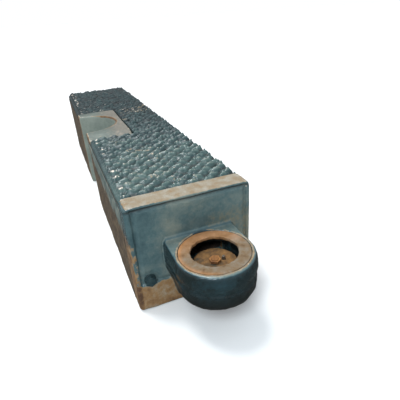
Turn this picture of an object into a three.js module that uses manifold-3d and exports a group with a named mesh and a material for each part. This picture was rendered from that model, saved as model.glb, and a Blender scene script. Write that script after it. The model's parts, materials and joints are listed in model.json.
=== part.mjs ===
// Burner assembly: a long cast casing with a pinned deck, a side saddle with a half-round notch,
// and an end header whose spout holds a regulated inlet port.
// Millimetres, +Z up, +Y from the header to the rear cover, origin under the middle of the box.
import * as THREE from "three";
import { ConvexGeometry } from "three/addons/geometries/ConvexGeometry.js";
import { mergeVertices } from "three/addons/utils/BufferGeometryUtils.js";
import Module from "manifold-3d";

const wasm = await Module();
wasm.setup();

// ---- driving sizes ----
const halfWidth = 100; // casing, each side of X = 0
const spoutReach = 120; // spout nose in front of the end face
const casingLength = 970; // end face to the rear edge of the deck
const faceY = (spoutReach - casingLength) / 2;
const rearY = faceY + casingLength;
const wall = 8; // cast wall
const floorThick = 10;
const gap = 0.3; // clearance between pieces that touch
const largeSides = 40; // facets round the port, the notch and the disc
const mediumSides = 20;
const smallSides = 12;

// ---- heights ----
const deckBase = 173.6; // underside of the deck plate
const deckTop = 181; // plate between the pins
const pinTop = 190;
const landTop = 189; // header land and saddle pad
const wallTop = 171; // casing walls, under the deck seals

// ---- stations along Y ----
const headerDepth = 36;
const headerBack = faceY + headerDepth;
const gasketThick = 2;
const troughFront = headerBack + gasketThick + 2 * gap;
const coverThick = 8.7;
const boltHead = 6.4;
const coverBack = rearY - boltHead - gasketThick - 2 * gap;
const coverFront = coverBack - coverThick;
const troughBack = coverFront - gasketThick - 2 * gap;

// ---- header face ----
const recessDepth = 3;
const spotFaceDepth = 1.5; // sunk seat of each header bolt, below the recess
const facePlate = 12; // end face to the inside of the header
const bandTop = 49; // bare band along the foot of the face
const headerBolts = [["left", -76], ["right", 81.5]]; // clear of the spout on the right
const headerBoltZ = 56;
const washerRadius = 9.8;
const boltSeatY = faceY + recessDepth + spotFaceDepth;
const dowelX = 82;
const dowelZ = 158;

// ---- spout and port ----
const spoutX = 9.5;
const spoutRadius = 60;
const spoutY = faceY - spoutReach + spoutRadius;
const spoutTop = 123;
const spoutFloor = 64; // underside of the spout
const spoutEdge = 4.5; // rounding of the upper edge
const rootRise = 8; // slope where the top of the spout meets the face
const rootReach = 5;
const portY = spoutY + 2; // the port lies a little behind the middle of the nose
const chamberFloor = 73;
const chamberRadius = 50;
const throatHalf = 40; // half width of the way from the chamber into the header
const throatTop = 107;
const lipZ = 108; // underside of the lip that carries the seat ring
const lipRadius = 44;
const seatZ = 117.5;
const ringRadius = 52.5;
const portRadius = 35;

// ---- regulating disc and its drive, at the rest setting ----
const discTop = 104;
const discThick = 5;
const discRadius = 32.5;
const spindleRadius = 5;
const guideOffset = 14; // guide rod, towards +X from the spindle
const guideRadius = 2.5;
const bushFlangeTop = 77;
const bushFoot = 57;
const bushRadius = 12;
const bushBossRadius = 18;
const neckRadius = 8;

// ---- saddle and notch ----
const notchRadius = 80;
const notchX = -98;
const notchY = faceY + 492;
const padFront = faceY + 364;
const padBack = faceY + 610;
const padRight = -2;
const padSlope = 26; // length of the sloped front wall
const shellRadius = notchRadius + wall;
const flangeFront = notchY - notchRadius - 20;
const flangeBack = notchY + notchRadius + 30;

// ---- pins ----
const pinPitchX = 27;
const pinPitchY = 25;
const pinFirstX = -86;
const pinHalfWidth = 12;
const pinHalfLength = 10;

// ---- inner pieces ----
const tubeZ = 90;
const tubeFlangeRadius = 54;
const tubeScrewX = 49.5; // each side of the tube
const ledgeTop = 138;
const ledgeDepth = 12;
const tubeRestY = faceY + 330;
const deckStuds = [
  [-72, faceY + 215],
  [72, faceY + 215],
  [70, notchY],
  [-72, faceY + 800],
  [72, faceY + 800],
];
const rearBolts = [
  [-76, 42],
  [76, 42],
  [-76, 132],
  [76, 132],
];
const saddleBoltAngle = 0.7; // radians each side of +X about the notch centre
const saddleBoltRing = notchRadius + 18;

// ---- solids ----
const X = new THREE.Vector3(1, 0, 0);
const Y = new THREE.Vector3(0, 1, 0);
const Z = new THREE.Vector3(0, 0, 1);

// The closed solid that a three.js geometry bounds.
function solidOf(geometry) {
  const bare = geometry.index ? geometry.toNonIndexed() : geometry.clone();
  bare.deleteAttribute("normal");
  bare.deleteAttribute("uv");
  const merged = mergeVertices(bare, 1e-4);
  const index = merged.index.array;
  const kept = [];
  for (let i = 0; i < index.length; i += 3) {
    const [a, b, c] = [index[i], index[i + 1], index[i + 2]];
    if (a !== b && b !== c && c !== a) kept.push(a, b, c);
  }
  const mesh = new wasm.Mesh({
    numProp: 3,
    vertProperties: merged.attributes.position.array,
    triVerts: new Uint32Array(kept),
  });
  return new wasm.Manifold(mesh);
}

function box(x0, x1, y0, y1, z0, z1) {
  const geometry = new THREE.BoxGeometry(x1 - x0, y1 - y0, z1 - z0);
  return solidOf(geometry.translate((x0 + x1) / 2, (y0 + y1) / 2, (z0 + z1) / 2));
}

function rodZ(radius, x, y, z0, z1, sides = mediumSides) {
  const geometry = new THREE.CylinderGeometry(radius, radius, z1 - z0, sides);
  return solidOf(geometry.rotateX(Math.PI / 2).translate(x, y, (z0 + z1) / 2));
}

function rodY(radius, x, z, y0, y1, sides = mediumSides) {
  const geometry = new THREE.CylinderGeometry(radius, radius, y1 - y0, sides);
  return solidOf(geometry.translate(x, (y0 + y1) / 2, z));
}

// A shape drawn in X and Z, swept along Y. Its front edge can be rounded.
function prismY(shape, y0, y1, round = 0) {
  const options = { depth: y1 - y0 + round, bevelEnabled: round > 0, curveSegments: 5 };
  Object.assign(options, { bevelThickness: round, bevelSize: round, bevelOffset: -round, bevelSegments: 2 });
  const geometry = new THREE.ExtrudeGeometry(shape, options);
  const turned = new THREE.Matrix4().makeBasis(X, Z, Y.clone().negate());
  const swept = solidOf(geometry.applyMatrix4(turned).translate(0, y1 + 2 * round, 0));
  return swept.intersect(box(-1000, 1000, y0 - 1, y1, -1000, 1000));
}

// A shape drawn in Y and Z, swept along X.
function prismX(shape, x0, x1) {
  const geometry = new THREE.ExtrudeGeometry(shape, { depth: x1 - x0, bevelEnabled: false });
  const turned = new THREE.Matrix4().makeBasis(Y, Z, X);
  return solidOf(geometry.applyMatrix4(turned).translate(x0, 0, 0));
}

// A profile of [radius, height] corners turned about Z.
function turned(profile, sides = largeSides) {
  const points = profile.map(([radius, height]) => new THREE.Vector2(radius, height));
  return solidOf(new THREE.LatheGeometry(points, sides).rotateX(Math.PI / 2));
}

// A rectangle in two axes with its own radius at each corner.
function roundedRectangle(x0, x1, y0, y1, { topLeft, topRight, bottomRight, bottomLeft }) {
  const shape = new THREE.Shape();
  shape.absarc(x0 + bottomLeft, y0 + bottomLeft, bottomLeft, Math.PI, 1.5 * Math.PI);
  shape.absarc(x1 - bottomRight, y0 + bottomRight, bottomRight, 1.5 * Math.PI, 2 * Math.PI);
  shape.absarc(x1 - topRight, y1 - topRight, topRight, 0, 0.5 * Math.PI);
  shape.absarc(x0 + topLeft, y1 - topLeft, topLeft, 0.5 * Math.PI, Math.PI);
  return shape;
}

const join = (...solids) => wasm.Manifold.union(solids);
const cut = (body, ...tools) => body.subtract(join(...tools));

// ---- scene graph ----
const colours = {
  paint: { color: 0x3f5f68, roughness: 0.45, metalness: 0.1 },
  pins: { color: 0x3a545a, roughness: 0.55, metalness: 0.1 },
  bareIron: { color: 0x9a8672, roughness: 0.8, metalness: 0.3 },
  rust: { color: 0x8a5a33, roughness: 0.9, metalness: 0.1 },
  machined: { color: 0xc08a5c, roughness: 0.7, metalness: 0.4 },
  innerIron: { color: 0x4a4744, roughness: 0.85, metalness: 0.3 },
  steel: { color: 0x77746f, roughness: 0.5, metalness: 0.8 },
  brass: { color: 0xa8843c, roughness: 0.45, metalness: 0.9 },
  gasket: { color: 0x3a3936, roughness: 0.95, metalness: 0 },
};
const materials = {};
for (const [name, look] of Object.entries(colours)) materials[name] = new THREE.MeshStandardMaterial(look);

const burner = new THREE.Group();

function geometryOf(solid) {
  const { vertProperties, triVerts } = solid.getMesh();
  const geometry = new THREE.BufferGeometry();
  geometry.setAttribute("position", new THREE.BufferAttribute(vertProperties, 3));
  geometry.setIndex(new THREE.BufferAttribute(triVerts, 1));
  geometry.computeVertexNormals();
  return geometry;
}

// Adds one piece. axis is where the solid's own +Z points, so a fastener is drawn once and turned.
function add(name, solid, material, position = [0, 0, 0], axis = Z) {
  const mesh = new THREE.Mesh(geometryOf(solid), materials[material]);
  mesh.name = name;
  mesh.position.set(...position);
  mesh.quaternion.setFromUnitVectors(Z, axis);
  burner.add(mesh);
}

// ---- header with spout ----
// The spout's outline at one height: straight sides from the face, closed by a half circle.
function spoutLevel(radius, z) {
  const points = [
    new THREE.Vector3(spoutX + radius, faceY + 6, z),
    new THREE.Vector3(spoutX - radius, faceY + 6, z),
  ];
  const steps = 16;
  for (let i = 0; i <= steps; i++) {
    const angle = Math.PI * (1 + i / steps);
    const x = spoutX + radius * Math.cos(angle);
    points.push(new THREE.Vector3(x, spoutY + radius * Math.sin(angle), z));
  }
  return points;
}

// A rib under one side of the spout, running down and back to the foot of the face.
function spoutCheek(side) {
  const thick = 10;
  const top = spoutFloor + 10;
  const outline = [
    [38, spoutY - 36, spoutFloor + 2],
    [38, spoutY - 36, top],
    [53, spoutY, spoutFloor + 2],
    [55, spoutY, top],
    [56, faceY + 6, top],
    [42, faceY + 6, 8],
  ];
  const corners = outline.flatMap(([out, y, z]) => [
    new THREE.Vector3(spoutX + side * out, y, z),
    new THREE.Vector3(spoutX + side * (out - thick), y, z),
  ]);
  return solidOf(new ConvexGeometry(corners));
}

function spout() {
  const levels = [
    [spoutRadius - spoutEdge, spoutTop],
    [spoutRadius - 1.5, spoutTop - 2.5],
    [spoutRadius, spoutTop - 9],
    [spoutRadius - 1, spoutFloor + 9],
    [spoutRadius - 5.5, spoutFloor],
  ];
  const shell = levels.flatMap(([radius, z]) => spoutLevel(radius, z));
  const root = new THREE.Shape();
  const rootBack = faceY + recessDepth + 1;
  root.moveTo(faceY - rootReach, spoutTop - 3);
  root.lineTo(rootBack, spoutTop - 3);
  root.lineTo(rootBack, spoutTop + rootRise);
  root.lineTo(faceY, spoutTop + 0.6 * rootRise);
  root.lineTo(faceY - rootReach, spoutTop);
  const rootHalf = spoutRadius - spoutEdge;
  return join(
    solidOf(new ConvexGeometry(shell)),
    prismX(root, spoutX - rootHalf, spoutX + rootHalf),
    spoutCheek(-1),
    spoutCheek(1),
    rodZ(bushBossRadius, spoutX, portY, bushFoot + gap, spoutFloor + 4),
  );
}

function spoutHollow() {
  return join(
    rodZ(ringRadius + gap, spoutX, portY, seatZ, spoutTop + 1, largeSides),
    rodZ(lipRadius, spoutX, portY, lipZ - 1, seatZ + 1, largeSides),
    rodZ(chamberRadius, spoutX, portY, chamberFloor, lipZ, largeSides),
    box(spoutX - throatHalf, spoutX + throatHalf, portY, faceY + facePlate + 1, chamberFloor + 1, throatTop),
    rodZ(bushRadius + gap, spoutX, portY, bushFoot - 1, chamberFloor + 1),
  );
}

// A block inside a side wall that a bolt along Y screws into.
function boltBoss(x, z, y0, y1) {
  const inner = Math.abs(x) - 13;
  const outer = halfWidth - wall + 1;
  const [x0, x1] = x < 0 ? [-outer, -inner] : [inner, outer];
  return box(x0, x1, y0, y1, z - 13, z + 13);
}

function frontHeader() {
  const corners = { topLeft: 9, topRight: 10, bottomRight: 5, bottomLeft: 5 };
  const outline = roundedRectangle(-halfWidth, halfWidth, 0, landTop, corners);
  const recessCorners = { topLeft: 12, topRight: 12, bottomRight: 6, bottomLeft: 8 };
  const recess = roundedRectangle(-91, 92, bandTop, landTop - 5, recessCorners);
  const hollow = box(
    -halfWidth + wall, halfWidth - wall,
    faceY + facePlate, headerBack + 1,
    floorThick, landTop - 12,
  );
  const shell = cut(
    prismY(outline, faceY, headerBack, 4),
    prismY(recess, faceY - 1, faceY + recessDepth),
    hollow,
  );
  const bosses = [];
  const holes = [];
  for (const [, x] of headerBolts) {
    bosses.push(boltBoss(x, headerBoltZ, faceY + 6, headerBack));
    holes.push(rodY(5 + gap, x, headerBoltZ, faceY - 1, headerBack + 1, smallSides));
    holes.push(rodY(washerRadius + 1, x, headerBoltZ, faceY - 1, boltSeatY));
  }
  for (const side of [-1, 1]) {
    bosses.push(box(side * 84 - 10, side * 84 + 10, faceY + 6, headerBack, dowelZ - 10, dowelZ + 10));
    holes.push(rodY(4 + gap, side * dowelX, dowelZ, headerBack - 18, headerBack + 1, smallSides));
    const screwX = spoutX + side * tubeScrewX;
    holes.push(rodY(2.5 + gap, screwX, tubeZ, faceY + facePlate - 8, faceY + facePlate + 1, smallSides));
  }
  return cut(join(shell, spout(), ...bosses), spoutHollow(), ...holes);
}

// ---- casing ----
function notchCylinder(radius) {
  return rodZ(radius, notchX, notchY, -1, 200, largeSides);
}

function troughBody() {
  const shell = cut(
    box(-halfWidth, halfWidth, troughFront, troughBack, 0, wallTop),
    box(-halfWidth + wall, halfWidth - wall, troughFront - 1, troughBack + 1, floorThick, wallTop + 1),
  );
  const solids = [shell];
  const holes = [
    notchCylinder(shellRadius + gap),
    box(-halfWidth - 1, -halfWidth + wall + 1, flangeFront - gap, flangeBack + gap, -1, wallTop + 1),
  ];
  for (const side of [-1, 1]) {
    const inner = side * (halfWidth - wall + 1);
    const ledgeEdge = side * (halfWidth - wall - ledgeDepth);
    const [x0, x1] = [Math.min(inner, ledgeEdge), Math.max(inner, ledgeEdge)];
    solids.push(box(x0, x1, troughFront + 45, troughBack - 45, ledgeTop - 8, ledgeTop));
    solids.push(box(side * 84 - 10, side * 84 + 10, troughFront, troughFront + 30, dowelZ - 10, dowelZ + 10));
    holes.push(rodY(4 + gap, side * dowelX, dowelZ, troughFront - 1, troughFront + 22, smallSides));
    for (const y of [troughFront + 60, troughBack - 60]) {
      holes.push(rodZ(3 + gap, side * 86, y, ledgeTop - 9, ledgeTop + 1, smallSides));
    }
  }
  for (const [, x] of headerBolts) {
    solids.push(boltBoss(x, headerBoltZ, troughFront, troughFront + 38));
    holes.push(rodY(5 + gap, x, headerBoltZ, troughFront - 1, troughFront + 34, smallSides));
  }
  for (const [x, z] of rearBolts) {
    solids.push(boltBoss(x, z, troughBack - 36, troughBack));
    holes.push(rodY(5 + gap, x, z, troughBack - 32, troughBack + 1, smallSides));
  }
  for (const [x, y] of deckStuds) {
    solids.push(rodZ(18, x, y, floorThick - 1, 24));
    holes.push(rodZ(13, x, y, -1, 14, smallSides));
    holes.push(rodZ(5 + gap, x, y, 13, 25, smallSides));
  }
  for (const [x, y] of saddleBoltSpots()) holes.push(rodZ(4 + gap, x, y, 2, floorThick + 1, smallSides));
  const rest = box(spoutX - 34, spoutX + 34, tubeRestY - 5, tubeRestY + 5, floorThick - 1, tubeZ - 12);
  const restRadius = tubeRadiusAt(tubeRestY) + 1;
  solids.push(cut(rest, rodY(restRadius, spoutX, tubeZ, tubeRestY - 9, tubeRestY + 9, largeSides)));
  return cut(join(...solids), ...holes);
}

function rearCover() {
  const holes = rearBolts.map(([x, z]) => rodY(5 + gap, x, z, coverFront - 1, coverBack + 1, smallSides));
  const plate = box(-halfWidth, halfWidth, coverFront, coverBack, 0, deckBase - gap);
  return cut(plate, ...holes);
}

// A flat frame on the casing's floor and walls, open at the top.
function endGasket(y0) {
  return cut(
    box(-halfWidth, halfWidth, y0, y0 + gasketThick, 0, wallTop),
    box(-halfWidth + wall, halfWidth - wall, y0 - 1, y0 + gasketThick + 1, floorThick, wallTop + 1),
  );
}

function deckSeal(side, y0, y1) {
  const outer = side * halfWidth;
  const inner = side * (halfWidth - wall);
  return box(Math.min(outer, inner), Math.max(outer, inner), y0, y1, wallTop + gap, deckBase - gap);
}

// ---- deck ----
function pin(x, y) {
  const foot = deckTop - 1;
  const geometry = new THREE.CylinderGeometry(0.5, 1, pinTop - foot, 4);
  geometry.rotateX(Math.PI / 2).scale(pinHalfWidth, pinHalfLength, 1);
  return solidOf(geometry.translate(x, y, (pinTop + foot) / 2));
}

function pinDeck() {
  const front = headerBack + gap;
  const edge = halfWidth - 1;
  const plate = box(-edge, edge, front, rearY, deckBase, deckTop);
  const pins = [];
  const rows = Math.floor((rearY - front) / (pinPitchY / 2)) - 1;
  for (let row = 0; row < rows; row++) {
    const y = front + pinHalfLength + 1 + (row * pinPitchY) / 2;
    const shift = row % 2 ? pinPitchX / 2 : 0;
    for (let x = pinFirstX + shift; x < edge + pinHalfWidth; x += pinPitchX) pins.push(pin(x, y));
  }
  const field = join(...pins).intersect(box(-edge, edge, front, rearY, deckBase, pinTop));
  const padOpening = box(-edge - 1, -padRight, padFront - gap, padBack + gap, deckBase - 1, pinTop + 1);
  const lip = box(padRight + gap, -padRight + 1, padFront - 1, padBack + 1, deckBase, deckBase + 3);
  const bosses = deckStuds.map(([x, y]) => rodZ(12, x, y, ledgeTop + 14, deckBase + 1));
  const holes = deckStuds.map(([x, y]) => rodZ(5 + gap, x, y, ledgeTop + 13, deckBase - 4, smallSides));
  return cut(join(cut(join(plate, field), padOpening), lip, ...bosses), ...holes);
}

// ---- saddle ----
function saddleBoltSpots() {
  return [-1, 1].map((side) => [
    notchX + saddleBoltRing * Math.cos(saddleBoltAngle),
    notchY + side * saddleBoltRing * Math.sin(saddleBoltAngle),
  ]);
}

function sideSaddle() {
  const profile = new THREE.Shape();
  profile.moveTo(padFront, deckBase);
  profile.lineTo(padBack, deckBase);
  profile.lineTo(padBack, landTop);
  profile.lineTo(padFront + padSlope, landTop);
  profile.lineTo(padFront, deckTop);
  const foot = cut(
    rodZ(shellRadius + 20, notchX, notchY, floorThick + gap, floorThick + 8, largeSides),
    box(-300, -halfWidth + wall + gap, -300, 500, 0, 40),
  );
  const sides = box(-halfWidth, -halfWidth + wall, flangeFront, flangeBack, 0, deckBase + 1);
  const shell = rodZ(shellRadius, notchX, notchY, 0, deckBase + 1, largeSides);
  const bolts = saddleBoltSpots().map(([x, y]) => rodZ(4 + gap, x, y, 5, 30, smallSides));
  const body = join(prismX(profile, -halfWidth, padRight), shell, sides, foot);
  const outside = box(-400, -halfWidth, -400, 600, -10, 300);
  return cut(body, outside, notchCylinder(notchRadius), ...bolts);
}

// ---- port pieces, drawn about the spindle ----
function seatRing() {
  const [z0, z1] = [seatZ + gap, spoutTop];
  return turned([
    [portRadius, z0], [ringRadius, z0], [ringRadius, z1], [portRadius, z1], [portRadius, z0],
  ], largeSides);
}

function regulatingDisc() {
  const bottom = discTop - discThick;
  const plate = rodZ(discRadius, 0, 0, bottom, discTop, largeSides);
  const disc = join(plate, rodZ(10, 0, 0, bottom - 6, bottom + 1));
  return cut(
    disc,
    rodZ(spindleRadius + gap, 0, 0, bottom - 10, discTop + 1),
    rodZ(guideRadius + 2 * gap, guideOffset, 0, bottom - 10, discTop + 1, smallSides),
  );
}

function discNut() {
  return cut(
    rodZ(9, 0, 0, discTop + gap, discTop + 4.5, 6),
    rodZ(spindleRadius + gap, 0, 0, discTop - 1, discTop + 6),
  );
}

function glandBush() {
  const bush = join(
    rodZ(19, 0, 0, chamberFloor + gap, bushFlangeTop, largeSides),
    rodZ(bushRadius, 0, 0, bushFoot, chamberFloor + 1),
  );
  return cut(
    bush,
    rodZ(neckRadius + gap, 0, 0, bushFoot - 1, bushFlangeTop + 1),
    rodZ(guideRadius + gap, guideOffset, 0, chamberFloor - 1, bushFlangeTop + 1, smallSides),
  );
}

function handNut() {
  const knobTop = bushFoot - gap;
  const knobFoot = knobTop - 13;
  const neckTop = bushFlangeTop + 3.5;
  const body = join(
    rodZ(16, 0, 0, knobFoot, knobTop, largeSides),
    rodZ(neckRadius, 0, 0, knobTop - 1, neckTop),
  );
  const flutes = [];
  for (let i = 0; i < 8; i++) {
    const angle = (i * Math.PI) / 4;
    const [x, y] = [17.5 * Math.cos(angle), 17.5 * Math.sin(angle)];
    flutes.push(rodZ(3, x, y, knobFoot - 1, knobTop + 1, smallSides));
  }
  const groove = cut(
    rodZ(neckRadius + 1, 0, 0, bushFlangeTop + gap, bushFlangeTop + 2),
    rodZ(neckRadius - 1, 0, 0, bushFlangeTop, bushFlangeTop + 3),
  );
  return cut(body, groove, rodZ(spindleRadius + gap, 0, 0, knobFoot - 1, neckTop + 1), ...flutes);
}

function retainingRing() {
  const ring = cut(
    rodZ(10.5, 0, 0, bushFlangeTop + 2 * gap, bushFlangeTop + 1.7),
    rodZ(neckRadius - 1 + gap, 0, 0, bushFlangeTop, bushFlangeTop + 3),
  );
  return cut(ring, box(-12, 0, -2.5, 2.5, bushFlangeTop, bushFlangeTop + 3));
}

// ---- inner pieces ----
// Outer radius of the mixing tube along Y: a bell, a throat and a long diffuser.
function tubeProfile() {
  const start = faceY + facePlate + gap;
  return [
    [45, start + 4],
    [36, start + 24],
    [27, start + 60],
    [25, start + 90],
    [34, start + 330],
  ];
}

function tubeRadiusAt(y) {
  const profile = tubeProfile();
  const next = profile.findIndex(([, station]) => station > y);
  const [[r0, y0], [r1, y1]] = [profile[next - 1], profile[next]];
  return r0 + ((r1 - r0) * (y - y0)) / (y1 - y0);
}

function mixingTube() {
  const start = faceY + facePlate + gap;
  const outside = tubeProfile();
  const inside = outside.map(([radius, y]) => [radius - 3, y]).reverse();
  const flange = [[42, start], [tubeFlangeRadius, start], [tubeFlangeRadius, start + 4]];
  const corners = [...flange, ...outside, ...inside, flange[0]];
  const points = corners.map(([radius, y]) => new THREE.Vector2(radius, y));
  const tube = solidOf(new THREE.LatheGeometry(points, mediumSides).translate(spoutX, 0, tubeZ));
  const holes = [-1, 1].map((side) => {
    const x = spoutX + side * tubeScrewX;
    return rodY(2.5 + gap, x, tubeZ, start - 1, start + 5, smallSides);
  });
  return cut(tube, ...holes);
}

function spreaderBaffle() {
  const edge = halfWidth - wall - 1;
  const [y0, y1] = [troughFront + 46, troughBack - 46];
  const [z0, z1] = [ledgeTop + gap, ledgeTop + gap + 2];
  const plate = box(-edge, edge, y0, y1, z0, z1);
  const holes = [notchCylinder(shellRadius + 2)];
  holes.push(box(-edge - 1, -halfWidth + wall + 14, flangeFront - 2, flangeBack + 2, z0 - 1, z1 + 1));
  for (const [x, y] of deckStuds) holes.push(rodZ(7, x, y, z0 - 1, z1 + 1, smallSides));
  for (const x of [-86, 86]) {
    for (const y of [troughFront + 60, troughBack - 60]) {
      holes.push(rodZ(3 + gap, x, y, z0 - 1, z1 + 1, smallSides));
    }
  }
  for (let y = y0 + 40; y < y1 - 30; y += 80) {
    holes.push(box(14, 54, y - 5, y + 5, z0 - 1, z1 + 1));
    const besideNotch = Math.abs(y - notchY) < shellRadius + 12;
    if (!besideNotch) holes.push(box(-54, -14, y - 5, y + 5, z0 - 1, z1 + 1));
  }
  return cut(plate, ...holes);
}

// ---- fasteners, drawn with the head's seat at Z = 0 and the shank towards -Z ----
function bolt(shankRadius, length, headRadius, headHeight) {
  return join(
    rodZ(shankRadius, 0, 0, -length, 1, smallSides),
    rodZ(headRadius, 0, 0, 0, headHeight, 6),
  );
}

function washer(innerRadius, outerRadius, thick) {
  return cut(
    rodZ(outerRadius, 0, 0, 0, thick, smallSides),
    rodZ(innerRadius, 0, 0, -1, thick + 1, smallSides),
  );
}

// ---- assembly ----
add("trough_body", troughBody(), "rust");
add("front_header", frontHeader(), "paint");
add("rear_cover", rearCover(), "innerIron");
add("pin_deck", pinDeck(), "pins");
add("side_saddle", sideSaddle(), "bareIron");
add("front_gasket", endGasket(headerBack + gap), "gasket");
add("rear_gasket", endGasket(troughBack + gap), "gasket");
add("deck_seal_right", deckSeal(1, troughFront, troughBack), "gasket");
add("deck_seal_left_front", deckSeal(-1, troughFront, flangeFront - gap), "gasket");
add("deck_seal_left_rear", deckSeal(-1, flangeBack + gap, troughBack), "gasket");

const spindleFoot = [spoutX, portY, 0];
add("seat_ring", seatRing(), "machined", spindleFoot);
add("regulating_disc", regulatingDisc(), "rust", spindleFoot);
add("disc_spindle", rodZ(spindleRadius, 0, 0, 34, discTop + 5), "steel", spindleFoot);
add("disc_nut", discNut(), "rust", spindleFoot);
const guideRod = rodZ(guideRadius, guideOffset, 0, chamberFloor + gap, discTop + 5, smallSides);
add("guide_rod", guideRod, "steel", spindleFoot);
add("gland_bush", glandBush(), "brass", spindleFoot);
add("hand_nut", handNut(), "brass", spindleFoot);
add("retaining_ring", retainingRing(), "steel", spindleFoot);

add("mixing_tube", mixingTube(), "innerIron");
add("spreader_baffle", spreaderBaffle(), "innerIron");

const tubeScrew = bolt(2.5, 11, 4, 4);
const ledgeScrew = bolt(3, 9, 6, 4);
const headerBolt = bolt(5, 68, 9, 7);
const coverBolt = bolt(5, 38, 9, boltHead);
const saddleBolt = bolt(4, 14, 7.5, 5.5);
const headerWasher = washer(5 + gap, washerRadius, 2);
const studWasher = washer(5 + gap, 11, 2);
const stud = rodZ(5, 0, 0, 2, deckBase - 5, smallSides);
const studNut = cut(rodZ(9.8, 0, 0, 0, 8, 6), rodZ(5 + gap, 0, 0, -1, 9, smallSides));
const dowel = rodZ(4, 0, 0, -16, 16 + gasketThick, smallSides);

const towardsFront = Y.clone().negate();
for (const [name, x] of headerBolts) {
  const seat = boltSeatY - gap;
  add(`front_washer_${name}`, headerWasher, "steel", [x, seat, headerBoltZ], towardsFront);
  add(`front_bolt_${name}`, headerBolt, "rust", [x, seat - 2 - gap, headerBoltZ], towardsFront);
}
for (const [name, side] of [["left", -1], ["right", 1]]) {
  add(`header_dowel_${name}`, dowel, "steel", [side * dowelX, headerBack, dowelZ], Y);
  const flangeSeat = faceY + facePlate + 4 + 2 * gap;
  add(`tube_screw_${name}`, tubeScrew, "steel", [spoutX + side * tubeScrewX, flangeSeat, tubeZ], Y);
  for (const [end, y] of [["front", troughFront + 60], ["rear", troughBack - 60]]) {
    add(`baffle_screw_${end}_${name}`, ledgeScrew, "steel", [side * 86, y, ledgeTop + 2 + 2 * gap]);
  }
}
deckStuds.forEach(([x, y], i) => {
  add(`deck_stud_${i + 1}`, stud, "steel", [x, y, 0]);
  add(`deck_washer_${i + 1}`, studWasher, "steel", [x, y, 14 - 2 - gap]);
  add(`deck_nut_${i + 1}`, studNut, "steel", [x, y, 14 - 10 - 2 * gap]);
});
rearBolts.forEach(([x, z], i) => {
  add(`rear_bolt_${i + 1}`, coverBolt, "steel", [x, coverBack + gap, z], Y);
});
saddleBoltSpots().forEach(([x, y], i) => {
  add(`saddle_bolt_${i + 1}`, saddleBolt, "steel", [x, y, floorThick + 8 + gap]);
});

export default burner;
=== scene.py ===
"""Burner assembly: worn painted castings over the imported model. Metres, +Z up."""
import json
import math

import bmesh
import bpy
import numpy as np
from mathutils import Matrix, Vector


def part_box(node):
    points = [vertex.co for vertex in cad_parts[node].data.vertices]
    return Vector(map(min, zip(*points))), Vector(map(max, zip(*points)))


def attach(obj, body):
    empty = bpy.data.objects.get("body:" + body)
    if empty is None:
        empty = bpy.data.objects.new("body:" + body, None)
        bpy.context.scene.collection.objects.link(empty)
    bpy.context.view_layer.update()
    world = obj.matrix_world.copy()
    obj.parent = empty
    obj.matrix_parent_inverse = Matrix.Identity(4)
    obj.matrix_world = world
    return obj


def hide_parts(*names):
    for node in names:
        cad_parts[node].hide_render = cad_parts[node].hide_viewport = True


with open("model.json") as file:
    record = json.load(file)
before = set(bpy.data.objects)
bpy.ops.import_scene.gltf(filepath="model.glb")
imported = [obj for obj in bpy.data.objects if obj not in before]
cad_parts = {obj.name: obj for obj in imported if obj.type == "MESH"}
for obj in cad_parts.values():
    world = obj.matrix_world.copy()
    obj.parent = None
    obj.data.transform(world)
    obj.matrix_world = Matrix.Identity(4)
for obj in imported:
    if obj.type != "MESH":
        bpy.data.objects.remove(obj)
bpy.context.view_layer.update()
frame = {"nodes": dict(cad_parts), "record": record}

# ---- places worked out from the frame ----
GAP = 0.0003  # between pieces that touch
CASING_LENGTH = 0.970
BAND_TOP = 0.049  # bare band along the foot of the end face
PLATE_THICK = 0.0074
PAD_WIDTH = 0.098
NOTCH_X = -0.098
NOTCH_RADIUS = 0.080
NOTCH_ALONG = 0.492  # from the end face
deck_low, deck_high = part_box("pin_deck")
saddle_low, saddle_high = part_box("side_saddle")
ring_low, ring_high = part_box("seat_ring")
bolt_low, bolt_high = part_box("front_washer_left")
face_y = deck_high.y - CASING_LENGTH
land_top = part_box("front_header")[1].z
notch_y = face_y + NOTCH_ALONG
port = (ring_low + ring_high) / 2
ring_radius = (ring_high.x - ring_low.x) / 2
plate_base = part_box("deck_seal_right")[1].z + GAP
plate_top = plate_base + PLATE_THICK
pad_right = saddle_low.x + PAD_WIDTH
bolt_x = (bolt_low.x + bolt_high.x) / 2
bolt_z = (bolt_low.z + bolt_high.z) / 2

# ---- end face and spout ----
RIM_LEFT = -0.0915  # inner edges of the rim round the end face
RIM_RIGHT = 0.0925
RIM_THICK = 0.0042
GROOVE_DEPTH = 0.0042
PILLOW_RISE = 0.0034
BOLT_HOLLOW_RADIUS = 0.021
BOLT_HOLLOW_DEPTH = 0.0028
FACE_BEHIND = 0.0043  # the end face of the CAD node lies up to this far behind the rim
LEDGE_Z = 0.0935  # faint waist round the spout
LEDGE_DEPTH = 0.0016

# ---- pins on the deck ----
DECK_STEP = 0.0015
PIN_PITCH_X = 0.027
PIN_PITCH_Y = 0.025
FIRST_PIN_X = -0.086
FIRST_PIN_Y = 0.011
PIN_HALF_X = 0.0126
PIN_HALF_Y = 0.0094
PIN_HEIGHT = 0.0079
PAINTED_HEIGHT = 0.0085  # a full pin, for the paint
PIN_BEND = 0.38  # how far a pin's ridge bends towards the spout at its ends
FRONT_GAP = 0.004  # between the deck's front edge and the middle of the first pins
PIN_WANDER_X = 0.0013  # how far pins stray from an even grid
PIN_WANDER_Y = 0.0009
LEFT_FADE = (0.004, 0.010)  # from the deck's left edge, where the pins start to rise and are full
PAD_GAP = 0.004
DECK_EDGE_FALL = 0.0055  # radius of the deck's long edges

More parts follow.
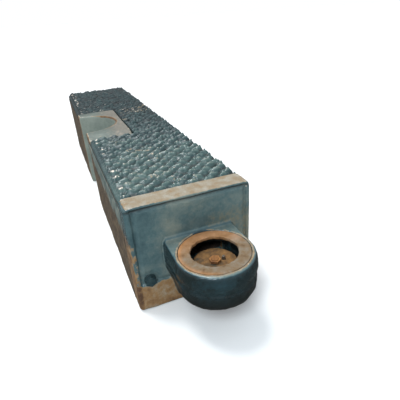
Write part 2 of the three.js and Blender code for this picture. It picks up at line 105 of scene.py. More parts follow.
# ---- port, floor and camera ----
PORT_RADIUS = 0.035
FLOOR_REACH = 60
FLOOR_DROP = 0.0008
CAMERA_PLACE = (-0.15172, -0.8605, 0.42166)
CAMERA_YAW = 20.91  # degrees to the right of +Y
CAMERA_PITCH = 27.85  # degrees downwards
CAMERA_ROLL = -3.73
CAMERA_LENS = 31.95  # mm


# ---- smooth noise and small shape functions ----
TABLE_SIZE = 32
noise_table = np.random.default_rng(11).random((TABLE_SIZE,) * 3) * 2 - 1


def lumps(points, size, shift=0.0):
    """Smooth noise from -1 to 1, its humps about size across."""
    grid = points / size + shift
    cell = np.floor(grid).astype(int)
    part = grid - cell
    part = part * part * (3 - 2 * part)
    total = np.zeros(len(points))
    for corner in np.ndindex(2, 2, 2):
        weight = np.prod(np.where(corner, part, 1 - part), axis=1)
        i, j, k = ((cell + corner) % TABLE_SIZE).T
        total += weight * noise_table[i, j, k]
    return total


def ridge(value, centre, half_width):
    """A rounded bump, 1 at centre and 0 beyond half_width."""
    return np.clip(1 - ((value - centre) / half_width) ** 2, 0, 1) ** 2


def step(value, start, end):
    """Turns smoothly from 0 at start to 1 at end."""
    t = np.clip((value - start) / (end - start), 0, 1)
    return t * t * (3 - 2 * t)


# ---- meshes ----
def link(obj):
    bpy.context.scene.collection.objects.link(obj)
    return obj


def coordinates(mesh):
    points = np.zeros(len(mesh.vertices) * 3)
    mesh.vertices.foreach_get("co", points)
    return points.reshape(-1, 3)


def normals_of(mesh):
    normals = np.zeros(len(mesh.vertices) * 3)
    mesh.vertices.foreach_get("normal", normals)
    return normals.reshape(-1, 3)


def move_points(mesh, points):
    mesh.vertices.foreach_set("co", points.ravel())
    mesh.update()


def edges_of(mesh):
    ends = np.zeros(len(mesh.edges) * 2, int)
    mesh.edges.foreach_get("vertices", ends)
    return ends.reshape(-1, 2).T


def neighbour_mean(mesh, values):
    a, b = edges_of(mesh)
    columns = values.reshape(len(values), -1)
    total = np.zeros_like(columns)
    for i in range(columns.shape[1]):
        total[:, i] += np.bincount(a, columns[b, i], len(values))
        total[:, i] += np.bincount(b, columns[a, i], len(values))
    count = np.bincount(a, minlength=len(values)) + np.bincount(b, minlength=len(values))
    return (total / np.maximum(count, 1)[:, None]).reshape(values.shape)


def crest(mesh, spread=2):
    """How far each point stands proud of its neighbours, as a share of a steep edge."""
    points = coordinates(mesh)
    a, b = edges_of(mesh)
    length = np.linalg.norm(points[a] - points[b], axis=1).mean()
    proud = ((points - neighbour_mean(mesh, points)) * normals_of(mesh)).sum(axis=1) / length
    for _ in range(spread):
        proud = neighbour_mean(mesh, proud)
    return proud * 6


def attribute(mesh, name, values):
    layer = mesh.attributes.get(name) or mesh.attributes.new(name, "FLOAT", "POINT")
    layer.data.foreach_set("value", np.clip(values, 0, 1).astype(np.float32))


def casting(node, name, voxel, smoothing):
    """A new piece on a CAD node's shape, with the soft corners of sand-cast iron."""
    source = frame["nodes"][node]
    draft = link(bpy.data.objects.new(name, source.data.copy()))
    draft.modifiers.new("weld", "WELD").merge_threshold = 1e-5
    remesh = draft.modifiers.new("remesh", "REMESH")
    remesh.mode = "VOXEL"
    remesh.voxel_size = voxel
    soften = draft.modifiers.new("soften", "SMOOTH")
    soften.iterations = smoothing
    graph = bpy.context.evaluated_depsgraph_get()
    mesh = bpy.data.meshes.new_from_object(draft.evaluated_get(graph))
    draft.modifiers.clear()
    draft.data = mesh
    mesh.materials.clear()
    mesh.shade_smooth()
    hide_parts(node)
    return draft


def finish_piece(piece, body, material):
    piece.data.materials.clear()
    piece.data.materials.append(material)
    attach(piece, body)
    return piece


# ---- materials ----
def srgb(*levels):
    """Linear colour of a display colour given as 0 to 255."""
    return tuple((level / 255) ** 2.2 for level in levels) + (1.0,)


class Shader:
    """Short calls for one procedural material."""

    def __init__(self, name):
        self.material = bpy.data.materials.new(name)
        self.material.use_nodes = True
        self.nodes = self.material.node_tree.nodes
        self.links = self.material.node_tree.links
        self.surface = self.nodes["Principled BSDF"]
        self.place = self.nodes.new("ShaderNodeTexCoord").outputs["Object"]

    def put(self, socket, value):
        if isinstance(value, bpy.types.NodeSocket):
            self.links.new(value, socket)
        else:
            socket.default_value = value

    def noise(self, size, detail=3.0, roughness=0.5, stretch=(1, 1, 1), shift=0.0):
        mapping = self.nodes.new("ShaderNodeMapping")
        self.put(mapping.inputs["Vector"], self.place)
        mapping.inputs["Scale"].default_value = [1 / (size * s) for s in stretch]
        mapping.inputs["Location"].default_value = (shift, shift, shift)
        texture = self.nodes.new("ShaderNodeTexNoise")
        texture.inputs["Scale"].default_value = 1.0
        texture.inputs["Detail"].default_value = detail
        texture.inputs["Roughness"].default_value = roughness
        self.put(texture.inputs["Vector"], mapping.outputs["Vector"])
        return texture.outputs["Fac"]

    def attribute(self, name):
        node = self.nodes.new("ShaderNodeAttribute")
        node.attribute_name = name
        return node.outputs["Fac"]

    def height(self):
        node = self.nodes.new("ShaderNodeSeparateXYZ")
        self.put(node.inputs[0], self.place)
        return node.outputs["Z"]

    def maths(self, operation, a, b=0.0, c=0.0):
        node = self.nodes.new("ShaderNodeMath")
        node.operation = operation
        for socket, value in zip(node.inputs, (a, b, c)):
            self.put(socket, value)
        return node.outputs[0]

    def add(self, a, b):
        return self.maths("ADD", a, b)

    def scaled(self, value, factor):
        return self.maths("MULTIPLY", value, factor)

    def centred(self, noise, spread):
        """Noise from 0 to 1 turned into spread times -0.5 to 0.5."""
        return self.maths("MULTIPLY_ADD", noise, spread, -spread / 2)

    def between(self, value, start, end, low=0.0, high=1.0):
        node = self.nodes.new("ShaderNodeMapRange")
        node.interpolation_type = "SMOOTHSTEP"
        for name, given in zip(
            ("Value", "From Min", "From Max", "To Min", "To Max"), (value, start, end, low, high)
        ):
            self.put(node.inputs[name], given)
        return node.outputs[0]

    def ramp(self, value, *stops):
        node = self.nodes.new("ShaderNodeValToRGB")
        elements = node.color_ramp.elements
        while len(elements) < len(stops):
            elements.new(0.5)
        for element, (at, colour) in zip(elements, stops):
            element.position = at
            element.color = colour
        self.put(node.inputs["Fac"], value)
        return node.outputs["Color"]

    def mix(self, share, a, b):
        node = self.nodes.new("ShaderNodeMix")
        node.data_type = "RGBA"
        sockets = [s for s in node.inputs if s.type == "RGBA"]
        self.put(node.inputs[0], share)
        self.put(sockets[0], a)
        self.put(sockets[1], b)
        return [s for s in node.outputs if s.type == "RGBA"][0]

    def bump(self, height, depth, strength=1.0):
        node = self.nodes.new("ShaderNodeBump")
        node.inputs["Strength"].default_value = strength
        node.inputs["Distance"].default_value = depth
        self.put(node.inputs["Height"], height)
        self.put(self.surface.inputs["Normal"], node.outputs["Normal"])

    def done(self, colour, roughness, metallic=0.0):
        self.put(self.surface.inputs["Base Color"], colour)
        self.put(self.surface.inputs["Roughness"], roughness)
        self.put(self.surface.inputs["Metallic"], metallic)
        return self.material


# Pale primer showing through chips; the same colour also paints glints on crests and edges.
PALE_CHIP_AND_GLINT = srgb(222, 206, 190)
# Near-black painted shade, put in the gaps between the pins, in grooves, under the spout and in the port's
# chamber.
PAINTED_SHADE = srgb(22, 26, 24)
RUST_RUN = srgb(178, 116, 58)
IRON_SPECK = srgb(92, 74, 58)
BARE_IRON = (
    (0.05, srgb(148, 142, 128)),
    (0.35, srgb(134, 120, 98)),
    (0.6, srgb(126, 96, 60)),
    (0.9, srgb(76, 52, 32)),
)
BARE_ROUGHNESS = 0.78


def worn_paint(name, tones, gloss, stain, hollow=0.0):
    """Glossy paint over cast iron, steered by the mesh's attributes.

    The tone attribute picks the paint's tone from deep to pale, and paints light on the spout's top and
    shade on its sides; worn stains it. bare shows the iron, rust its tone, the chips attribute pale primer
    chips and painted glints, and low paints shade, near black, to the share hollow gives. matt and low dull
    the gloss.
    """
    s = Shader(name)
    fine = s.noise(0.007, 5, 0.65)
    grain = s.noise(0.0016, 2, 0.6)
    cloud = s.add(s.centred(s.noise(0.05, 4), 0.6), s.centred(fine, 0.35))
    paint = s.ramp(s.add(s.attribute("tone_and_shade"), cloud), *tones)
    worn = s.add(s.attribute("worn"), s.centred(fine, 0.8))
    paint = s.mix(s.between(worn, 0.25, 0.9), paint, stain)
    bare = s.between(s.add(s.attribute("bare"), s.centred(fine, 0.9)), 0.44, 0.56)
    rusty = s.add(s.attribute("rust"), s.centred(s.noise(0.012, 5, 0.6, shift=3.0), 1.2))
    iron = s.ramp(rusty, *BARE_IRON)
    iron = s.mix(s.between(grain, 0.45, 0.75, 0.0, 0.45), iron, IRON_SPECK)
    chip_and_glint = s.add(s.attribute("chips_and_glints"), s.centred(s.noise(0.0035, 3, 0.6, shift=5.0), 1.6))
    colour = s.mix(bare, paint, iron)
    # Pale specks: chipped paint showing primer, and painted glints.
    colour = s.mix(s.between(chip_and_glint, 0.5, 0.6), colour, PALE_CHIP_AND_GLINT)
    # The low attribute paints shade, near black, to the share hollow gives.
    colour = s.mix(s.scaled(s.attribute("low"), hollow), colour, PAINTED_SHADE)
    s.bump(s.add(s.scaled(fine, 0.7), s.scaled(grain, 0.3)), 0.0012, 0.65)
    dull = s.add(s.attribute("matt"), s.scaled(s.attribute("low"), 0.6))
    smoothness = s.between(bare, 0.0, 1.0, gloss, BARE_ROUGHNESS)
    return s.done(colour, s.add(s.scaled(dull, 0.5), smoothness))


def rust_iron(name, stops, roughness=0.85):
    """Bare rusted iron in the given tones, with orange where the attribute rust says."""
    s = Shader(name)
    patches = s.noise(0.014, 5, 0.6)
    grain = s.noise(0.0015, 3, 0.6)
    colour = s.ramp(s.add(s.scaled(patches, 0.8), s.scaled(grain, 0.2)), *stops)
    colour = s.mix(s.maths("MULTIPLY", s.attribute("rust"), patches), colour, RUST_RUN)
    s.bump(s.add(patches, s.scaled(grain, 0.5)), 0.0006, 0.6)
    return s.done(colour, roughness)


def metal(name, tone, roughness, shine, dirt):
    """A machined or drawn metal part with a little staining."""
    s = Shader(name)
    stain = s.between(s.noise(0.008, 4), 0.5, 0.7, 0.0, 0.7)
    colour = s.mix(stain, tone, dirt)
    s.bump(s.noise(0.001, 2), 0.0001, 0.3)
    return s.done(colour, s.between(stain, 0.0, 0.7, roughness, 0.8), shine)


def side_paint():
    """Casing walls: worn teal under the deck, running down into brown rust."""
    paint_tones = (
        (0.35, srgb(60, 78, 78)),
        (0.55, srgb(108, 120, 114)),
        (0.7, srgb(142, 140, 126)),
    )
    rust_tones = (
        (0.36, srgb(40, 32, 24)),
        (0.48, srgb(72, 58, 40)),
        (0.6, srgb(104, 86, 60)),
        (0.72, srgb(132, 116, 88)),
    )
    s = Shader("side_paint")
    fine = s.noise(0.006, 5, 0.65)
    streaks = s.noise(0.035, 5, 0.6, stretch=(1, 1, 1.5))
    grain = s.noise(0.0016, 2, 0.6)
    level = s.between(s.height(), 0.085, 0.165, 0.10, 0.85)
    edge = s.add(s.add(level, s.centred(streaks, 0.9)), s.centred(fine, 0.5))
    edge = s.maths("SUBTRACT", edge, s.scaled(s.attribute("worn"), 0.5))
    paint = s.ramp(s.noise(0.02, 4), *paint_tones)
    patches = s.add(s.scaled(s.noise(0.02, 5, 0.65, shift=9.0), 0.55), s.scaled(fine, 0.45))
    rust = s.ramp(patches, *rust_tones)
    rust = s.mix(s.between(grain, 0.5, 0.75, 0.0, 0.5), rust, srgb(70, 52, 38))
    colour = s.mix(s.between(edge, 0.5, 0.68), rust, paint)
    colour = s.mix(s.between(s.attribute("bare"), 0.35, 0.8), colour, srgb(186, 160, 128))
    s.bump(s.add(fine, s.scaled(grain, 0.4)), 0.001, 0.6)
    return s.done(colour, s.between(edge, 0.5, 0.68, 0.8, 0.42))


teal = worn_paint("teal_paint", [
    (0.0, srgb(28, 36, 36)),
    (0.3, srgb(40, 60, 66)),
    (0.6, srgb(72, 92, 94)),
    (1.0, srgb(126, 130, 118)),
], gloss=0.18, stain=srgb(112, 104, 82), hollow=0.9)
bolt_paint = worn_paint("bolt_paint", [
    (0.0, srgb(30, 46, 50)),
    (0.4, srgb(70, 86, 86)),
], gloss=0.12, stain=srgb(90, 84, 70))
pin_teal = worn_paint("pin_paint", [
    (0.0, srgb(14, 26, 28)),
    (0.35, srgb(38, 60, 62)),
    (0.65, srgb(78, 98, 94)),
    (1.0, srgb(128, 130, 118)),
], gloss=0.27, stain=srgb(126, 110, 94), hollow=0.85)
pale_casting = worn_paint("pale_casting", [
    (0.0, srgb(66, 76, 70)),
    (0.4, srgb(106, 116, 108)),
    (0.7, srgb(134, 142, 132)),
    (1.0, srgb(160, 160, 148)),
], gloss=0.5, stain=srgb(124, 112, 100))
walls = side_paint()
ring_iron = rust_iron("ring_iron", [
    (0.34, srgb(84, 64, 44)),
    (0.44, srgb(106, 86, 62)),
    (0.56, srgb(112, 100, 84)),
    (0.7, srgb(128, 118, 104)),
])
disc_iron = rust_iron("disc_iron", [
    (0.34, srgb(50, 44, 30)),
    (0.46, srgb(86, 62, 34)),
    (0.6, srgb(114, 82, 44)),
    (0.74, srgb(140, 102, 58)),
])
nut_rust = rust_iron("nut_rust", [
    (0.36, srgb(92, 58, 30)),
    (0.52, srgb(130, 88, 46)),
    (0.7, srgb(156, 112, 64)),
])
dark_iron = rust_iron("dark_iron", [
    (0.36, srgb(40, 34, 30)),
    (0.52, srgb(74, 60, 50)),
    (0.7, srgb(104, 84, 66)),
])
gasket = rust_iron("gasket_board", [(0.36, srgb(36, 34, 32)), (0.6, srgb(66, 62, 56))], roughness=0.95)
steel = metal("stained_steel", srgb(120, 116, 108), roughness=0.42, shine=0.85, dirt=srgb(92, 62, 40))
brass = metal("dull_brass", srgb(170, 134, 70), roughness=0.4, shine=0.9, dirt=srgb(84, 64, 38))


# ---- header ----
def face_depth(x, z, from_bolt):
    """How far behind the front of the rim the end face lies: a groove inside the rim, then a soft pillow."""
    from_side = np.minimum(x - RIM_LEFT, RIM_RIGHT - x)
    from_foot_or_top = np.minimum(land_top - RIM_THICK - z, z - BAND_TOP)
    inset = np.minimum(from_side, from_foot_or_top)
    groove = GROOVE_DEPTH * step(inset, -0.0008, 0.0010)
    pillow = PILLOW_RISE * step(inset, 0.0012, 0.0085)
    near_bolt = step(BOLT_HOLLOW_RADIUS - from_bolt, 0, 0.010)
    hollow = BOLT_HOLLOW_DEPTH * near_bolt * step(inset, 0, 0.004)
    side_rounding = 0.004 * step(abs(x), 0.0955, 0.1) ** 2
    return groove - pillow + hollow + side_rounding


def sink_face(points, front):
    """Gives the header's end face its groove, pillow and bolt hollow."""
    x, y, z = points.T
    from_bolt = np.hypot(x - bolt_x, z - bolt_z)
    on_face = front * step(y, face_y - 0.0025, face_y - 0.001) * step(face_y + FACE_BEHIND - y, 0, 0.0006)
    on_face *= step(from_bolt, 0.0105, 0.0125)
    points[:, 1] += (face_y + face_depth(x, z, from_bolt) - y) * on_face


def header_relief(points, normals, front, proud):
    """Unevenness of the header's skin, the spout's faint waist and nibbled edges, outwards."""
    y, z = points[:, 1], points[:, 2]
    on_spout = step(face_y - 0.004 - y, 0, 0.004) * step(0.75 - abs(normals[:, 2]), 0, 0.3)
    relief = (0.0007 * lumps(points, 0.026) + 0.0004 * lumps(points, 0.010, 3.3)) * front
    relief += 0.0004 * lumps(points, 0.03, 5.0) + 0.00025 * lumps(points, 0.006, 1.7)
    relief -= LEDGE_DEPTH * on_spout * ridge(z, LEDGE_Z, 0.006)
    relief += LEDGE_DEPTH / 2 * on_spout * ridge(z, LEDGE_Z + 0.0125, 0.009)
    relief -= 0.0011 * step(lumps(points, 0.006, 9.1), 0.25, 0.6) * step(proud, 0.35, 0.8)
    return relief


def paint_header(mesh, points, normals, front, proud):
    x, y, z = points.T
    from_port = np.hypot(x - port.x, y - port.y)
    up = step(normals[:, 2], 0.6, 0.9)
    edge = step(proud, 0.3, 0.8)
    land = step(z, land_top - 0.004, land_top - 0.0015)
    under_land = ridge(z, land_top - 0.0065, 0.003) * front
    corner = ridge(abs(x), 0.094, 0.016) * step(z, land_top - 0.016, land_top - 0.004)
    dip = 0.004 * ridge(x, bolt_x, 0.022) - 0.002 * lumps(points, 0.03)
    band = step(BAND_TOP - dip - z, -0.003, 0.003) * front * step(y, face_y - 0.003, face_y)
    side = step(abs(normals[:, 0]), 0.4, 0.8) * step(y, face_y + 0.001, face_y + 0.004)
    left_rim = front * step(RIM_LEFT + 0.001 - x, 0, 0.002) * step(y, face_y - 0.002, face_y)
    foot = 1 - step(z, 0.10, 0.16)
    spout = step(face_y - 0.001 - y, 0, 0.003)
    under_spout = spout * (1 - step(z, 0.066, 0.100))
    ring_edge = up * ridge(from_port, ring_radius + 0.001, 0.0055) * step(z, port.z - 0.005, port.z - 0.001)
    inside = step(ring_radius - 0.0005 - from_port, 0, 0.002) * step(z, 0.06, 0.07)
    chamber = step(ring_radius - 0.001 - from_port, 0, 0.002) * step(ring_low.z + 0.001 - z, 0, 0.002)

    bare = 0.10 + 0.72 * land * up + 0.7 * band + 0.55 * ring_edge + 0.8 * inside * (1 - chamber)
    bare += 0.22 * edge + side * (0.18 + 0.4 * foot) + left_rim * (0.15 + 0.25 * foot)
    rust = 0.36 + 0.22 * band + 0.34 * side - 0.10 * land + 0.3 * inside + 0.2 * left_rim
    # Pale chips along raised edges, round the ring and at the land's corners; the pale band a little under
    # the land paints a highlight on the end face's top shoulder.
    chips_and_glints = 0.30 * step(proud, 0.45, 0.9) + 0.3 * ring_edge + 0.14 * land * edge + 0.30 * corner
    chips_and_glints += 0.2 * front * ridge(z, land_top - 0.012, 0.006)
    worn = 0.5 * step(lumps(points, 0.07, 4.4), -0.3, 0.6) * step(x, -0.04, 0.03)
    worn = np.maximum(worn, 0.45 * ridge(z, port.z + 0.02, 0.03) * step(x, 0.03, 0.08))
    # On the spout the paint is a little paler on top, painted light, and much deeper on its sides, painted
    # shade.
    tone_and_shade = 0.7 - 0.2 * step(-0.02 - x, 0, 0.06) + spout * (0.05 * up - 0.56 * (1 - up))
    attribute(mesh, "bare", bare)
    attribute(mesh, "rust", rust)
    attribute(mesh, "chips_and_glints", chips_and_glints)
    attribute(mesh, "worn", worn * (1 - spout))
    attribute(mesh, "tone_and_shade", tone_and_shade)
    # low paints shade: under the spout, in the groove under the land and in the port's chamber.
    attribute(mesh, "low", np.maximum(under_spout, 0.75 * under_land) + chamber)


def header_casting():
    piece = casting("front_header", "header_casting", 0.0018, 3)
    mesh = piece.data
    points = coordinates(mesh)
    normals = normals_of(mesh)
    proud = crest(mesh)
    front = step(-normals[:, 1], 0.3, 0.8)
    sink_face(points, front)
    relief = header_relief(points, normals, front, proud)
    move_points(mesh, points + normals * relief[:, None])
    paint_header(mesh, points, normals, front, proud)
    finish_piece(piece, "casing", teal)


# ---- deck ----
def pin_heights(x, y, front):
    """Height of the staggered pins above the plate, 0 between them.

    Each pin is a bent ridge that runs across the deck and narrows to its ends.
    """
    rng = np.random.default_rng(5)
    height = np.zeros_like(x)
    for shift_x, shift_y in ((0, 0), (PIN_PITCH_X / 2, PIN_PITCH_Y / 2)):
        from_first_x = x - FIRST_PIN_X - shift_x
        from_first_y = y - front - FIRST_PIN_Y - shift_y
        column = np.rint(from_first_x / PIN_PITCH_X).astype(int)
        row = np.rint(from_first_y / PIN_PITCH_Y).astype(int)
        i, j = column - column.min(), row - row.min()
        wobble = rng.normal(0, 1, (6, i.max() + 1, j.max() + 1))
        stray_x, stray_y, slant, extra, tilt_y, tilt_x = wobble[:, i, j]
        dx = from_first_x - column * PIN_PITCH_X - PIN_WANDER_X * stray_x
        dy = from_first_y - row * PIN_PITCH_Y - PIN_WANDER_Y * stray_y
        dy = dy + dx * (0.06 + 0.12 * slant)
        across = np.clip(abs(dx) / PIN_HALF_X, 0, 1)
        along = dy / PIN_HALF_Y + PIN_BEND * across**2
        narrowing = np.clip(1 - across**2.2, 0.02, 1)
        ridge_line = np.clip(1 - abs(along) / narrowing, 0, 1)
        shape = ridge_line**0.8 * (1 - across**3)
        tall = PIN_HEIGHT + 0.0009 * np.clip(extra, -2.5, 1.2)
        lean = 0.09 * tilt_y * dy + 0.04 * tilt_x * dx
        fits = y - dy > front + FRONT_GAP
        height = np.maximum(height, np.where(fits, shape * (tall + lean), 0))
    return height


def deck_surface():
    """The deck's upper surface as grids of x, y and z, with its pins and its rounded long edges."""
    x0, x1 = deck_low.x, deck_high.x
    front, rear = deck_low.y, deck_high.y
    xs = np.linspace(x0, x1, round((x1 - x0) / DECK_STEP) + 1)
    ys = np.linspace(front, rear, round((rear - front) / DECK_STEP) + 1)
    x, y = np.meshgrid(xs, ys)
    flat = np.stack([x.ravel(), y.ravel(), np.zeros(x.size)], axis=1)

    def noise(size, shift=0.0):
        return lumps(flat, size, shift).reshape(x.shape)

    pins = pin_heights(x, y, front) * step(x - x0, *LEFT_FADE)
    pins *= 1 + 0.24 * noise(0.0042, 8.0) + 0.06 * noise(0.012, 6.0)
    rough = 0.0004 * noise(0.02) + 0.00035 * noise(0.0055)
    from_edge = np.minimum(x - x0, x1 - x)
    over_edge = np.clip(DECK_EDGE_FALL - from_edge, 0, DECK_EDGE_FALL)
    drop = DECK_EDGE_FALL - np.sqrt(np.clip(DECK_EDGE_FALL**2 - over_edge**2, 0, None))
    return x, y, plate_top + pins + rough - drop


def deck_cells(x, y):
    """The grid's squares by their corners, without those where the saddle comes up beside the deck."""
    centre_x = (x[:-1, :-1] + x[1:, 1:]) / 2
    centre_y = (y[:-1, :-1] + y[1:, 1:]) / 2
    beside_saddle = (centre_y > saddle_low.y - GAP) & (centre_y < saddle_high.y + GAP)
    opening = beside_saddle & (centre_x < pad_right + PAD_GAP)
    index = np.arange(x.size).reshape(x.shape)
    corners = (index[:-1, :-1], index[:-1, 1:], index[1:, 1:], index[1:, :-1])
    return np.stack(corners, axis=-1)[~opening]


def close_below(mesh):
    """Turns the deck's surface into a closed plate, with a skirt down to a flat underside."""
    shape = bmesh.new()
    shape.from_mesh(mesh)
    bmesh.ops.delete(shape, geom=[v for v in shape.verts if not v.link_faces], context="VERTS")
    rim_edges = [e for e in shape.edges if e.is_boundary]
    skirt = bmesh.ops.extrude_edge_only(shape, edges=rim_edges)["geom"]
    for vertex in (g for g in skirt if isinstance(g, bmesh.types.BMVert)):
        vertex.co.z = plate_base
    foot = [g for g in skirt if isinstance(g, bmesh.types.BMEdge) and g.is_boundary]
    bmesh.ops.edgeloop_fill(shape, edges=foot)
    bmesh.ops.recalc_face_normals(shape, faces=shape.faces)
    shape.to_mesh(mesh)
    shape.free()
    mesh.shade_smooth()
    mesh.set_sharp_from_angle(angle=math.radians(75))


def paint_deck(mesh):
    points = coordinates(mesh)
    x, y, z = points.T
    height = (z - plate_top) / PAINTED_HEIGHT
    inner = step(x - deck_low.x, *LEFT_FADE)
    left_edge = ridge(x, deck_low.x + 0.012, 0.014)
    patches = lumps(points, 0.09, 2.2) + 0.6 * lumps(points, 0.03, 4.1)
    brown = step(lumps(points, 0.12, 7.3) + 0.5 * lumps(points, 0.035, 1.4), -0.15, 0.6)
    middle = ridge(x, -0.05, 0.08) * ridge(y, saddle_low.y - 0.12, 0.25)
    distant = step(y, saddle_low.y - 0.25, saddle_high.y)
    # Pale specks on the pins' crests and along the deck's left edge: chipped paint, and painted glints.
    chips_and_glints = (0.30 + 0.22 * left_edge) * step(height, 0.55, 0.9) + 0.10 * step(patches, 0.2, 0.8)
    attribute(mesh, "worn", brown * (0.12 + 0.5 * middle) * step(height, 0.15, 0.7))
    attribute(mesh, "bare", 0.10 + 0.36 * step(patches, -0.1, 0.7) * step(height, 0.1, 0.8))
    attribute(mesh, "rust", 0.08 + 0.2 * step(patches, 0.2, 0.9))
    attribute(mesh, "chips_and_glints", chips_and_glints)
    # low paints shade in the gaps between the pins.
    attribute(mesh, "low", (1 - step(height, 0.02, 0.45)) * inner)
    attribute(mesh, "matt", 0.8 * distant)
    attribute(mesh, "tone_and_shade", 0.46 - 0.36 * distant + 0.28 * step(height, 0.5, 1.0))


def deck_casting():
    x, y, z = deck_surface()
    points = np.stack([x.ravel(), y.ravel(), z.ravel()], axis=1)
    mesh = bpy.data.meshes.new("deck_casting")
    mesh.from_pydata(points.tolist(), [], deck_cells(x, y).tolist())
    close_below(mesh)
    paint_deck(mesh)
    piece = link(bpy.data.objects.new("deck_casting", mesh))
    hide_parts("pin_deck")
    finish_piece(piece, "casing", pin_teal)


# ---- saddle, walls and cover ----
def saddle_casting():
    piece = casting("side_saddle", "saddle_casting", 0.0022, 2)
    mesh = piece.data
    points = coordinates(mesh)
    normals = normals_of(mesh)
    proud = crest(mesh)
    push = 0.0004 * lumps(points, 0.02) + 0.0003 * lumps(points, 0.006)
    push -= 0.001 * step(lumps(points, 0.007, 9.1), 0.2, 0.6) * step(proud, 0.35, 0.8)
    move_points(mesh, points + normals * push[:, None])
    x, y, z = points.T
    up = step(normals[:, 2], 0.5, 0.9) * step(z, plate_top - 0.002, plate_top)
    outer = step(-normals[:, 0], 0.5, 0.9) * step(saddle_low.x + 0.004 - x, 0, 0.002)
    from_axis = np.hypot(x - NOTCH_X, y - notch_y)
    rim = ridge(from_axis, NOTCH_RADIUS + 0.0015, 0.005)
    rim *= step(z, saddle_high.z - 0.008, saddle_high.z - 0.003)
    rim *= step(x, -0.075, -0.035)
    attribute(mesh, "bare", 0.1 + 0.28 * up + 0.3 * step(proud, 0.3, 0.8) + 0.5 * outer + 0.4 * rim)
    attribute(mesh, "rust", 0.10 + 0.7 * outer + 0.8 * rim)
    attribute(mesh, "chips_and_glints", (0.3 * up * step(proud, 0.1, 0.6) + 0.14 * up) * (1 - rim))
    attribute(mesh, "tone_and_shade", 0.5 - 0.34 * up)
    attribute(mesh, "worn", 0.6 * up * step(x, -0.09, -0.02))
    finish_piece(piece, "casing", pale_casting)


def plain_casting(node, name, voxel, material):
    """A casting with no shape of its own beyond the CAD node's: soft corners and uneven faces."""
    piece = casting(node, name, voxel, 2)
    mesh = piece.data
    points = coordinates(mesh)
    normals = normals_of(mesh)
    proud = crest(mesh)
    push = 0.0007 * lumps(points, 0.05) + 0.0004 * lumps(points, 0.014)
    move_points(mesh, points + normals * push[:, None])
    attribute(mesh, "bare", 0.1 + 0.5 * step(proud, 0.3, 0.8))
    attribute(mesh, "worn", step(points[:, 1], saddle_low.y - 0.1, saddle_high.y))
    finish_piece(piece, "casing", material)


# ---- port ----
def port_ring():
    piece = casting("seat_ring", "port_ring", 0.0008, 3)
    mesh = piece.data
    points = coordinates(mesh)
    normals = normals_of(mesh)
    out = points[:, :2] - np.array(port[:2])
    radius = np.hypot(*out.T)
    away = out / radius[:, None]
    top = step(points[:, 2], ring_high.z - 0.0035, ring_high.z)
    hole = step(PORT_RADIUS + 0.0045 - radius, 0, 0.004)
    rim = np.concatenate([away * PORT_RADIUS, np.zeros((len(points), 1))], axis=1)
    ragged = 0.0011 * lumps(rim, 0.006) + 0.0007 * lumps(rim, 0.0022, 4.0)
    points[:, :2] += away * (ragged * hole * (0.35 + 0.65 * top))[:, None]
    push = 0.00025 * lumps(points, 0.007) + 0.00018 * lumps(points, 0.0025, 2.0)
    push -= 0.0006 * top * step(hole, 0, 1) * step(lumps(rim, 0.009, 6.0), 0, 0.6)  # dents in its edge
    move_points(mesh, points + normals * push[:, None])
    outer = step(radius, 0.045, ring_radius)
    attribute(mesh, "rust", 0.9 * step(out[:, 1], -0.01, 0.05) + 0.7 * outer * step(-out[:, 0], 0, 0.03))
    finish_piece(piece, "casing", ring_iron)


def rusted_disc(node, name, voxel, material):
    piece = casting(node, name, voxel, 2)
    mesh = piece.data
    points = coordinates(mesh)
    push = 0.00045 * lumps(points, 0.009) + 0.0003 * lumps(points, 0.0028, 5.0)
    move_points(mesh, points + normals_of(mesh) * push[:, None])
    finish_piece(piece, "disc", material)


# ---- small CAD pieces, kept and softened ----
def soften(node, width, material, slot):
    shown = frame["nodes"][node]
    shown.modifiers.new("weld", "WELD").merge_threshold = 1e-5
    bevel = shown.modifiers.new("soften", "BEVEL")
    bevel.width = width
    bevel.segments = 2
    bevel.limit_method = "ANGLE"
    bevel.angle_limit = math.radians(40)
    shown.data.materials.clear()
    shown.data.materials.append(material)


def small_pieces():
    looks = {
        "steel": (steel, 0.0005),
        "brass": (brass, 0.0005),
        "gasket": (gasket, 0.0003),
        "inner_iron": (dark_iron, 0.0008),
        "rusted_casting": (nut_rust, 0.0006),
    }
    for part in frame["record"]["subparts"]:
        node, slot = part["node"], part["material_slot"]
        if frame["nodes"][node].hide_render:
            continue
        material, width = looks[slot]
        if node.startswith(("front_bolt", "front_washer")):
            material = bolt_paint
        if node == "disc_spindle":
            material = nut_rust
        soften(node, width, material, slot)


# ---- stage ----
def floor():
    """A pale floor that gloss doesn't mirror: the paint mirrors the world's dark lower half instead."""
    mesh = bpy.data.meshes.new("floor")
    corners = [(-1, -1), (1, -1), (1, 1), (-1, 1)]
    mesh.from_pydata([(x * FLOOR_REACH, y * FLOOR_REACH, 0) for x, y in corners], [], [(0, 1, 2, 3)])
    ground = link(bpy.data.objects.new("floor", mesh))
    ground.location.z = -FLOOR_DROP
    ground.visible_glossy = False
    pale = Shader("floor_paper")
    mesh.materials.append(pale.done((0.86, 0.86, 0.85, 1), 0.9))


def shine_towards(holder, direction):
    holder.rotation_euler = direction.to_track_quat("-Z", "Y").to_euler()


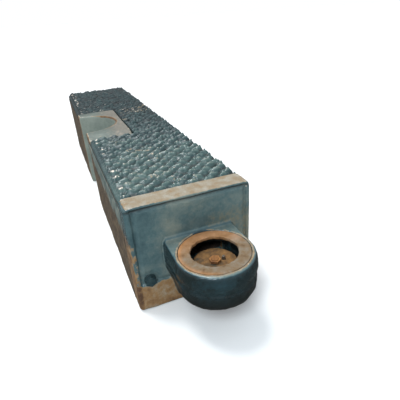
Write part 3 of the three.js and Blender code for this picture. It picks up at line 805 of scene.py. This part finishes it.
def studio_world():
    """Grey above a bright band at the horizon, dark below it. Levels go by height, 0 down and 1 up."""
    below = (0.10, 0.10, 0.09, 1)
    above = (0.85, 0.92, 1.0, 1)
    levels = ((0.485, 0.12), (0.495, 1.0), (0.55, 1.0), (0.58, 0.36), (0.77, 0.42))
    world = bpy.data.worlds.new("studio")
    world.use_nodes = True
    nodes, links = world.node_tree.nodes, world.node_tree.links
    direction = nodes.new("ShaderNodeTexCoord").outputs["Generated"]
    split = nodes.new("ShaderNodeSeparateXYZ")
    links.new(direction, split.inputs[0])
    rise = nodes.new("ShaderNodeMapRange")
    rise.inputs["From Min"].default_value = -1.0
    links.new(split.outputs["Z"], rise.inputs["Value"])
    sky = nodes.new("ShaderNodeValToRGB")
    stops = sky.color_ramp.elements
    stops[0].position, stops[0].color = 0.0, below
    stops[1].position, stops[1].color = 1.0, above
    for at, level in levels:
        stops.new(at).color = (level, level * 1.02, level * 1.05, 1)
    links.new(rise.outputs["Result"], sky.inputs["Fac"])
    links.new(sky.outputs["Color"], nodes["Background"].inputs["Color"])
    bpy.context.scene.world = world


def key_light():
    sun = bpy.data.lights.new("key", "SUN")
    sun.energy = 2.5
    sun.angle = math.radians(24)
    holder = link(bpy.data.objects.new("key", sun))
    shine_towards(holder, Vector((0.16, -0.34, -1.0)))


def window_light():
    """A soft, slightly blue light in front of the spout."""
    place = Vector((-0.8, -1.6, 1.6))
    target = Vector((0, -0.4, 0.1))
    lamp = bpy.data.lights.new("window", "AREA")
    lamp.shape = "DISK"
    lamp.size = 0.8
    lamp.energy = 30
    lamp.color = (0.84, 0.93, 1.0)
    holder = link(bpy.data.objects.new("window", lamp))
    holder.location = place
    shine_towards(holder, target - place)


def camera():
    yaw, pitch, roll = (math.radians(angle) for angle in (CAMERA_YAW, CAMERA_PITCH, CAMERA_ROLL))
    ahead = Vector((math.sin(yaw), math.cos(yaw), 0)) * math.cos(pitch)
    forward = ahead - Vector((0, 0, math.sin(pitch)))
    right = Vector((math.cos(yaw), -math.sin(yaw), 0))
    up = right.cross(forward)
    across = right * math.cos(roll) + up * math.sin(roll)
    upright = up * math.cos(roll) - right * math.sin(roll)
    lens = bpy.data.cameras.new("camera")
    lens.lens = CAMERA_LENS
    holder = link(bpy.data.objects.new("camera", lens))
    axes = Matrix((across, upright, -forward)).transposed().to_4x4()
    holder.matrix_world = Matrix.Translation(CAMERA_PLACE) @ axes
    bpy.context.scene.camera = holder


header_casting()
deck_casting()
saddle_casting()
plain_casting("trough_body", "trough_casting", 0.0037, walls)
plain_casting("rear_cover", "cover_casting", 0.0024, walls)
port_ring()
rusted_disc("regulating_disc", "disc_casting", 0.0009, disc_iron)
rusted_disc("disc_nut", "rusted_nut", 0.0005, nut_rust)
small_pieces()
floor()
studio_world()
key_light()
window_light()
camera()
bpy.context.scene.view_settings.view_transform = "Standard"
